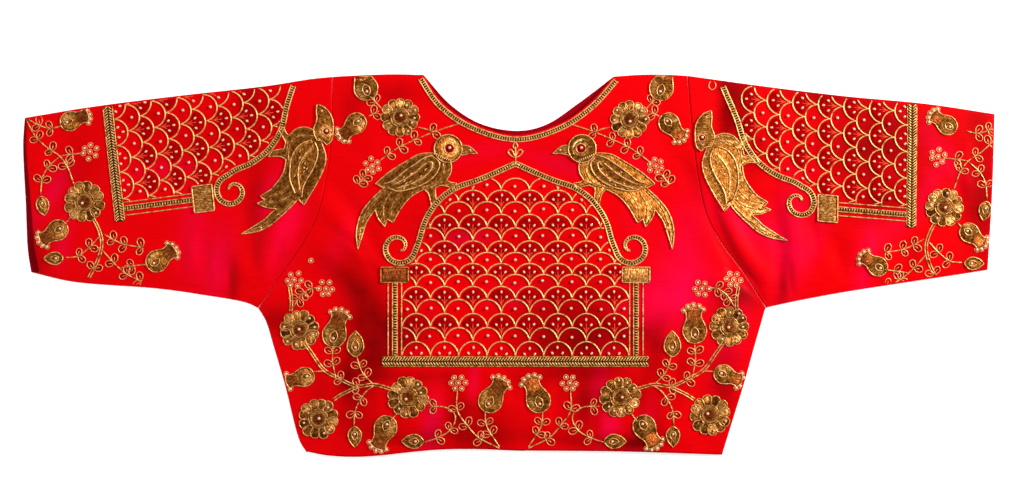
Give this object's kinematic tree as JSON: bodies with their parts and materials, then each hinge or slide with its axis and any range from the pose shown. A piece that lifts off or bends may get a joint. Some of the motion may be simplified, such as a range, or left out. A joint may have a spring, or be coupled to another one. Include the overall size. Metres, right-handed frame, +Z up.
{
  "type": "choli blouse",
  "caption": "Long-sleeved cropped red choli blouse laid flat back up, with a scooped neck, a gold embroidered arch, birds, flowers and buds.",
  "frame": {"origin": "on the table, at the middle of the blouse's width and length as it lies flat", "axes": "+X along the sleeves towards the cuff on the right as seen from above, +Y from the hem to the neck, +Z up off the table"},
  "size_m": [0.9274, 0.365, 0.0089],
  "materials": {
    "cloth": "plain-woven art silk with a soft pink sheen",
    "goldwork": "metallic thread and cord, padded",
    "hooks": "plain"
  },
  "bodies": {
    "root": {"arch_base_back": "goldwork", "arch_base_sleeve_left": "goldwork", "arch_base_sleeve_right": "goldwork", "arch_block_back_left": "goldwork", "arch_block_back_right": "goldwork", "arch_block_sleeve_left": "goldwork", "arch_block_sleeve_right": "goldwork", "arch_border_back": "goldwork", "arch_border_sleeve_left": "goldwork", "arch_border_sleeve_right": "goldwork", "arch_column_back_left": "goldwork", "arch_column_back_right": "goldwork", "arch_column_sleeve_left": "goldwork", "arch_column_sleeve_right": "goldwork", "back_panel": "cloth", "bird_back_left": "goldwork", "bird_back_right": "goldwork", "bird_sleeve_left": "goldwork", "bird_sleeve_right": "goldwork", "bud_cuff_left_edge": "goldwork", "bud_cuff_left_foot": "goldwork", "bud_cuff_left_top": "goldwork", "bud_cuff_right_edge": "goldwork", "bud_cuff_right_foot": "goldwork", "bud_cuff_right_top": "goldwork", "bud_edge_left": "goldwork", "bud_edge_right": "goldwork", "bud_hem_left": "goldwork", "bud_hem_right": "goldwork", "bud_middle_left": "goldwork", "bud_middle_right": "goldwork", "bud_shoulder_left": "goldwork", "bud_shoulder_right": "goldwork", "bud_side_left": "goldwork", "bud_side_right": "goldwork", "flower_cuff_left": "goldwork", "flower_cuff_right": "goldwork", "flower_hem_left": "goldwork", "flower_hem_right": "goldwork", "flower_shoulder_left": "goldwork", "flower_shoulder_right": "goldwork", "flower_side_left": "goldwork", "flower_side_right": "goldwork", "flower_waist_left": "goldwork", "flower_waist_right": "goldwork", "front_left": "cloth", "front_right": "cloth", "hook_1": "hooks", "hook_2": "hooks", "hook_3": "hooks", "hook_4": "hooks", "hook_5": "hooks", "neck_trim": "goldwork", "sleeve_left": "cloth", "sleeve_right": "cloth"}
  },
  "joints": []
}
